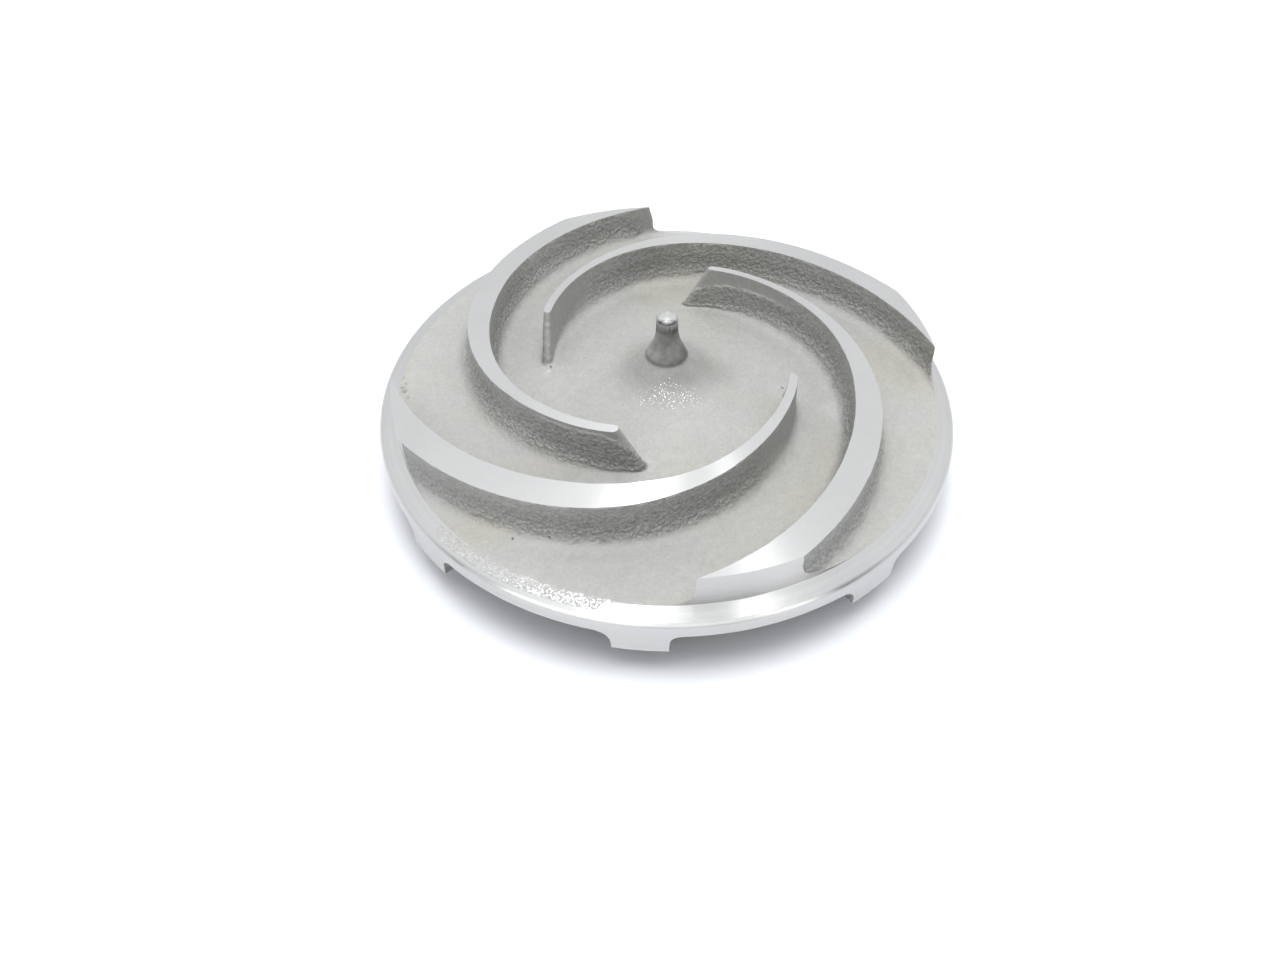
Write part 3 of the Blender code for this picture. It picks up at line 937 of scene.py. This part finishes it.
def cast_pits(tree, place):
    """A few small pits: 1 inside them and 0 elsewhere."""
    distance, chance = add_cells(tree, place, PIT_SCALE)
    inside = add_range(tree, distance, *PIT_EDGE, 1.0, 0.0)
    return product(tree, inside, add_range(tree, chance, *PIT_CHANCE))


def cast_tone(tree, place, radius, wall, grain, fine, coarse, crust, pits, grazed):
    """Brightness of the casting: mottled, painted in shade in its creases and hollows and on its steep
    walls, and darker in its pits and smudges.
    """
    nose_edge = add_math(tree, "ABSOLUTE", add_math(tree, "SUBTRACT", radius, NOSE_BASE_RADIUS))
    clouds = add_noise(tree, place, *CLOUD_NOISE)
    dust = add_noise(tree, place, *DUST_NOISE)
    smudges = add_noise(tree, place, *SMUDGE_NOISE)
    return product(
        tree,
        add_range(tree, fine, *NOISE_SPAN, 0.90, 1.10),
        add_range(tree, clouds, *NOISE_SPAN, 0.97, 1.03),
        add_range(tree, dust, *NOISE_SPAN, 0.97, 1.03),
        # painted shade: where the grain is strong, creases between the crust's scales and hollows between
        # lumps are darker and the lumps' tops lighter
        add_mix(tree, grain, WHITE, add_range(tree, crust, *CREASE_SPAN, 1.05, 0.84)),
        add_mix(tree, grain, WHITE, add_range(tree, coarse, *LUMP_SPAN, 0.94, 1.05)),
        # painted shade: the steep walls are darker, as the shade of their coarse grain
        add_range(tree, wall, 0.0, 0.9, 1.0, 0.84),
        add_range(tree, smudges, *SMUDGE_SPAN, 1.0, 0.93),
        add_range(tree, pits, 0.0, 1.0, 1.0, 0.55),
        # the shade attribute holds painted light and shade (the nose's right side, the ribs, the dent right
        # of the nose), other patches painted lighter or darker, and real tones of seams, blotches, scale
        # and marks
        add_math(tree, "ADD", add_attribute(tree, "shade"), 1.0),
        # painted shadow: a dark line round the nose's foot
        add_range(tree, nose_edge, *NOSE_SHADOW_LINE, 0.7, 1.0),
        add_range(tree, grazed, 0.4, 1.0, 1.0, 0.88),
    )


def sparkle_glints(tree, place, radius, coarse):
    """Facets that sparkle in front of the nose: where they are, and their colour."""
    chance = add_cells(tree, add_warp(tree, place, *GLINT_WARP), GLINT_SCALE)[1]
    in_middle = add_range(tree, radius, *SPARKLE_END, 1.0, 0.0)
    share = product(tree, add_attribute(tree, "sparkle"), in_middle, SPARKLE_SHARE)
    glint = add_range(tree, add_math(tree, "ADD", chance, share), 1.0, 1.01)
    return glint, add_mix(tree, add_range(tree, coarse, *LUMP_SPAN), SPARKLE_COLOUR_DULL, SPARKLE_COLOUR)


def grazed_flakes(tree, place, grazed):
    """Peaks of the grain that the lathe made bright at the rim: where they are, and their colour."""
    flakes = add_noise(tree, place, *FLAKE_NOISE)
    level = add_math(tree, "ADD", flakes, add_range(tree, grazed, 0.0, 0.4, FLAKES_AT_EDGE, 0.0))
    flake = product(tree, add_range(tree, level, *FLAKE_SPAN), add_range(tree, grazed, 0.02, 0.10))
    return flake, add_mix(tree, add_range(tree, grazed, 0.4, 0.9), GRAZED_COLOUR_DULL, GRAZED_COLOUR)


def cast_bump(tree, grain, fine, coarse, crust, pits):
    """Relief that is too fine for the mesh."""
    scales = add_range(tree, crust, 0.0, 0.8, CRUST_HEIGHT, 0.0)
    rough = add_math(tree, "ADD", scales, product(tree, coarse, COARSE_HEIGHT))
    height = add_math(tree, "ADD", product(tree, rough, grain), product(tree, fine, FINE_HEIGHT))
    height = add_math(tree, "SUBTRACT", height, product(tree, pits, PIT_DEPTH))
    return add_node(tree, "Bump", Distance=1 * MM, Strength=1.0, Height=height).outputs["Normal"]


def cast_steel(settings):
    """Blasted sand casting: matt, faintly stained, scaly on the walls, with a few bright facets."""
    material, tree, shader = new_material("cast_steel")
    place = add_node(tree, "TexCoord").outputs["Object"]
    radius = add_radius(tree, place)
    wall = add_attribute(tree, "wall")
    grain = add_range(tree, add_attribute(tree, "grain"), FLOOR_GRAIN, 1.0)
    fine = add_noise(tree, place, *FINE_NOISE)
    coarse = add_noise(tree, place, *COARSE_NOISE)
    crust = add_cells(tree, add_warp(tree, place, *CRUST_WARP), CRUST_SCALE)[0]
    pits = cast_pits(tree, place)
    grazed_start = GRAZED_RADII[1][0]
    grazed = product(tree, add_attribute(tree, "grazed"),
                     add_range(tree, radius, grazed_start - GRAZED_OUTER_FADE, grazed_start))
    glint, glint_colour = sparkle_glints(tree, place, radius, coarse)
    flake, flake_colour = grazed_flakes(tree, place, grazed)
    tone = cast_tone(tree, place, radius, wall, grain, fine, coarse, crust, pits, grazed)

    stains = add_range(tree, add_noise(tree, place, *STAIN_NOISE), *STAIN_SPAN, 0.0, STAIN_SHARE)
    stained = product(tree, stains, add_range(tree, wall, 0.0, 1.0, 1.0, STAIN_ON_WALLS))
    colour = add_mix(tree, stained, settings.cast_colour, settings.stain_colour)
    colour = add_mix(tree, glint, add_tint(tree, colour, tone), glint_colour)
    bright = add_math(tree, "MAXIMUM", glint, flake)
    roughness = product(tree, add_range(tree, fine, *NOISE_SPAN, *CAST_ROUGHNESS),
                        add_range(tree, bright, 0.0, 1.0, 1.0, BRIGHT_ROUGHNESS))
    feed(shader, Base_Color=add_mix(tree, flake, colour, flake_colour),
         Metallic=add_range(tree, bright, 0.0, 1.0, CAST_METALLIC, 1.0), Roughness=roughness,
         Normal=cast_bump(tree, grain, fine, coarse, crust, pits))
    return material


def tip_stain(tree, place, radius, y, z):
    """Stain on the front of the turned nose tip, from 0 to 1: deeper towards its foot."""
    blots = product(tree, add_noise(tree, place, *BLOT_NOISE), TIP_STAIN_BLOTS)
    reach = add_math(tree, "ADD", add_math(tree, "SUBTRACT", CAD_HIGH.z, z), product(tree, y, -0.5))
    stain = add_range(tree, add_math(tree, "ADD", reach, blots), *TIP_STAIN_REACH)
    edge = NOSE_TIP_RADIUS + 0.5 * MM
    return product(tree, stain, add_range(tree, radius, edge, edge + 0.5 * MM, 1.0, 0.0))


def turned_steel(settings):
    """Bright turned faces: tool marks run round the axis, so reflections smear across them."""
    material, tree, shader = new_material("turned_steel")
    place = add_node(tree, "TexCoord").outputs["Object"]
    x, y, z = add_node(tree, "SeparateXYZ", Vector=place).outputs
    radius = add_radius(tree, place)
    around = add_node(tree, "CombineXYZ", X=product(tree, y, -1.0), Y=x).outputs["Vector"]
    normal = add_node(tree, "NewGeometry").outputs["Normal"]
    across = add_vector_math(tree, "CROSS_PRODUCT", normal, around).outputs["Vector"]

    lathe = add_node(tree, "TexNoise")
    lathe.noise_dimensions = "1D"
    feed(lathe, W=add_math(tree, "ADD", radius, product(tree, z, RING_CONE)), Scale=RING_SCALE, Detail=2.0)
    rings = lathe.outputs["Fac"]
    on_band = (BAND_INNER_RADIUS - 0.1 * MM, BAND_INNER_RADIUS + 0.1 * MM)
    wave = product(tree, add_range(tree, rings, *NOISE_SPAN, -1.0, 1.0),
                   add_range(tree, radius, *on_band, *RING_TONES))
    stained = tip_stain(tree, place, radius, y, z)
    tone = product(tree, add_range(tree, add_noise(tree, place, *PATCH_NOISE), *NOISE_SPAN, 0.97, 1.02),
                   add_range(tree, add_noise(tree, place, *SCUFF_NOISE), *NOISE_SPAN, 0.99, 1.01),
                   add_math(tree, "ADD", wave, 1.0),
                   add_range(tree, stained, 0.0, 1.0, 1.0, TIP_STAIN_TONE))
    roughness = add_math(tree, "ADD", add_range(tree, rings, *NOISE_SPAN, *TURNED_ROUGHNESS),
                         product(tree, stained, TIP_STAIN_ROUGHNESS))
    feed(shader, Base_Color=add_tint(tree, settings.turned_colour, tone), Metallic=1.0,
         Roughness=roughness, Anisotropic=TURNED_ANISOTROPY, Tangent=across)
    return material


class IMPELLER_OT_casting(Operator):
    """Model the casting, roughen it and turn its working faces"""

    bl_idname = "impeller.casting"
    bl_label = "Impeller casting"

    def execute(self, context):
        settings = context.scene.impeller
        materials = [cast_steel(settings), turned_steel(settings)]
        piece = self.raw_casting(materials)
        roughen(piece.data, settings)
        triangles = sum(len(face.vertices) - 2 for face in piece.data.polygons)
        thin = piece.modifiers.new("thin", "DECIMATE")
        thin.ratio = min(1.0, CASTING_TRIANGLES / triangles)
        apply_modifiers(piece)
        self.cut(piece, turned_profile(), TURNED_SEGMENTS, "INTERSECT")
        self.cut(piece, socket_profile(), SOCKET_SEGMENTS, "DIFFERENCE")
        mark_edges(piece.data)
        smooth_turned_faces(piece.data)
        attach(piece, BODY)
        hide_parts(CAD_NODE)
        return {"FINISHED"}

    def raw_casting(self, materials):
        """Join disc and vanes into one soft-edged skin."""
        bm = bmesh.new()
        add_turned(bm, raw_disc_profile(), RAW_SEGMENTS)
        for index in range(VANE_COUNT):
            add_vane(bm, index)
        for index in range(PUMP_OUT_COUNT):
            add_pump_out_vane(bm, index)
        piece = mesh_object("impeller", bm, materials)
        skin = piece.modifiers.new("skin", "REMESH")
        skin.mode = "VOXEL"
        skin.voxel_size = VOXEL
        skin.adaptivity = 0.0
        soften = piece.modifiers.new("soften", "SMOOTH")
        soften.factor = 0.5
        soften.iterations = SOFTEN_ROUNDS
        apply_modifiers(piece)
        return piece

    def cut(self, piece, profile, segments, operation):
        """Cut a piece with a turned shape, whose faces take the turned finish."""
        bm = bmesh.new()
        add_turned(bm, profile, segments)
        for face in bm.faces:
            face.material_index = TURNED_SLOT
        tool = mesh_object("cutter", bm, piece.data.materials)
        modifier = piece.modifiers.new("cut", "BOOLEAN")
        modifier.operation = operation
        modifier.object = tool
        modifier.solver = "MANIFOLD"
        apply_modifiers(piece)
        bpy.data.objects.remove(tool, do_unlink=True)


class IMPELLER_OT_stage(Operator):
    """Set the white table, the lights, the exposure and the photograph's camera"""

    bl_idname = "impeller.stage"
    bl_label = "Table, lights and camera"

    def execute(self, context):
        self.add_table(context)
        self.add_room(context)
        for name, middle, width, depth, share, mirrored in CEILING_LIGHTS:
            lamp = self.add_panel(context, name, middle, width, depth, share)
            lamp.visible_glossy = mirrored
        for name, middle, width, height, share in FRONT_PANELS:
            lamp = self.add_panel(context, name, middle, width, height, share)
            lamp.rotation_euler = (math.radians(90), 0.0, 0.0)
            lamp.visible_diffuse = False
        self.add_camera(context)
        view = context.scene.view_settings
        view.view_transform = "Standard"
        view.look = "None"
        view.exposure = 0.0
        return {"FINISHED"}

    def add_table(self, context):
        """Lay the white table top just under the hub."""
        material, _, shader = new_material("table_white")
        feed(shader, Base_Color=context.scene.impeller_studio.table_colour, Roughness=0.6)
        bm = bmesh.new()
        bmesh.ops.create_grid(bm, x_segments=1, y_segments=1, size=TABLE_REACH)
        bmesh.ops.translate(bm, verts=bm.verts, vec=(0, 0, -TABLE_GAP))
        table = mesh_object("table", bm, [material])
        if table.data.polygons[0].normal.z < 0:
            table.data.flip_normals()

    def add_room(self, context):
        """Surround the scene with a white room: dark in front, dim low down, bright overhead."""
        studio = context.scene.impeller_studio
        world = bpy.data.worlds.new("room")
        world.use_nodes = True
        tree = world.node_tree
        way = add_node(tree, "TexCoord").outputs["Generated"]
        _, forward, up = add_node(tree, "SeparateXYZ", Vector=way).outputs
        in_front = product(tree, add_range(tree, forward, *FRONT_TURN),
                           add_range(tree, up, *FRONT_RISE, 1.0, 0.0))
        low_down = product(tree, add_range(tree, forward, *LOW_TURN, *LOW_DIMMING),
                           add_range(tree, up, *LOW_RISE, 1.0, 0.0))
        front = add_range(tree, in_front, 0.0, 1.0, studio.room_strength, studio.front_strength)
        room = product(tree, front, add_range(tree, low_down, 0.0, 1.0, 1.0, 0.0))
        towards = add_vector_math(tree, "DOT_PRODUCT", way, Vector(GLOW_DIRECTION).normalized())
        glow = add_math(tree, "POWER", add_range(tree, towards.outputs["Value"], GLOW_SPREAD, 1.0), 2.0)
        strength = add_math(tree, "ADD", room, product(tree, glow, GLOW_STRENGTH))
        feed(tree.nodes["Background"], Color=studio.room_colour, Strength=strength)
        context.scene.world = world

    def add_panel(self, context, name, middle, width, length, share):
        """Hang one rectangular light; it faces down until it is turned."""
        light = bpy.data.lights.new(name, "AREA")
        light.shape = "RECTANGLE"
        light.size = width
        light.size_y = length
        radiance = context.scene.impeller_studio.light_brightness * share
        light.energy = radiance * width * length * WATTS_PER_RADIANCE
        lamp = bpy.data.objects.new(name, light)
        lamp.location = middle
        context.scene.collection.objects.link(lamp)
        return lamp

    def add_camera(self, context):
        """Place the camera where the photograph was taken from."""
        data = bpy.data.cameras.new("photo_camera")
        data.sensor_width = SENSOR_WIDTH
        data.lens = FOCAL_PIXELS / PHOTO_WIDTH * SENSOR_WIDTH
        data.clip_start = 0.01
        data.clip_end = 20.0
        camera = bpy.data.objects.new("photo_camera", data)
        tilt = math.radians(CAMERA_ELEVATION)
        aim = Vector((0, 0, CAMERA_AIM_HEIGHT))
        place = aim + CAMERA_DISTANCE * Vector((0, -math.cos(tilt), math.sin(tilt)))
        turn = Matrix.Rotation(math.radians(90) - tilt, 3, "X")
        turn = turn @ Matrix.Rotation(math.radians(CAMERA_PAN), 3, "Y")
        turn = turn @ Matrix.Rotation(math.radians(CAMERA_ROLL), 3, "Z")
        camera.matrix_world = Matrix.Translation(place) @ turn.to_4x4()
        context.scene.collection.objects.link(camera)
        context.scene.camera = camera


class IMPELLER_PT_panel(Panel):
    """Lists the impeller's settings and operators"""

    bl_idname = "IMPELLER_PT_panel"
    bl_label = "Pump impeller"
    bl_space_type = "VIEW_3D"
    bl_region_type = "UI"
    bl_category = "Impeller"

    def draw(self, context):
        for group in (context.scene.impeller, context.scene.impeller_studio):
            box = self.layout.box()
            for name in group.__annotations__:
                box.prop(group, name)
        for operator in OPERATORS:
            self.layout.operator(operator.bl_idname)


OPERATORS = (IMPELLER_OT_casting, IMPELLER_OT_stage)
CLASSES = (ImpellerSettings, StudioSettings, *OPERATORS, IMPELLER_PT_panel)


def register():
    for cls in CLASSES:
        bpy.utils.register_class(cls)
    bpy.types.Scene.impeller = PointerProperty(type=ImpellerSettings)
    bpy.types.Scene.impeller_studio = PointerProperty(type=StudioSettings)


def unregister():
    del bpy.types.Scene.impeller_studio
    del bpy.types.Scene.impeller
    for cls in reversed(CLASSES):
        bpy.utils.unregister_class(cls)


def main():
    register()
    bpy.ops.impeller.casting()
    bpy.ops.impeller.stage()


if __name__ == "__main__":
    main()
